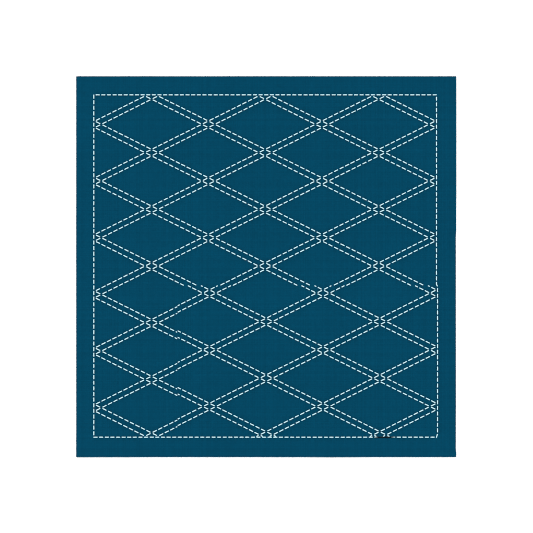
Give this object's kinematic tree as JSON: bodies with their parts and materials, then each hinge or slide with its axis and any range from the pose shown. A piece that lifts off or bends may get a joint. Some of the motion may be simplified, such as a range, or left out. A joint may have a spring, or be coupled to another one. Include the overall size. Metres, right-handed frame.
{
  "type": "sashiko sampler",
  "caption": "Square of deep blue cotton lying flat, stitched with a lattice of doubled lines in a stitched frame.",
  "frame": {"origin": "the middle of the sampler's underside", "axes": "+X to the sampler's right-hand edge, +Y to its top edge, +Z out of its stitched face"},
  "size_m": [0.34, 0.3408, 0.0016],
  "materials": {
    "cotton": "matt plain-woven cotton, deep teal blue",
    "thread": "matt twisted cotton thread, white"
  },
  "bodies": {
    "root": {"cloth": "cotton"}
  },
  "joints": []
}
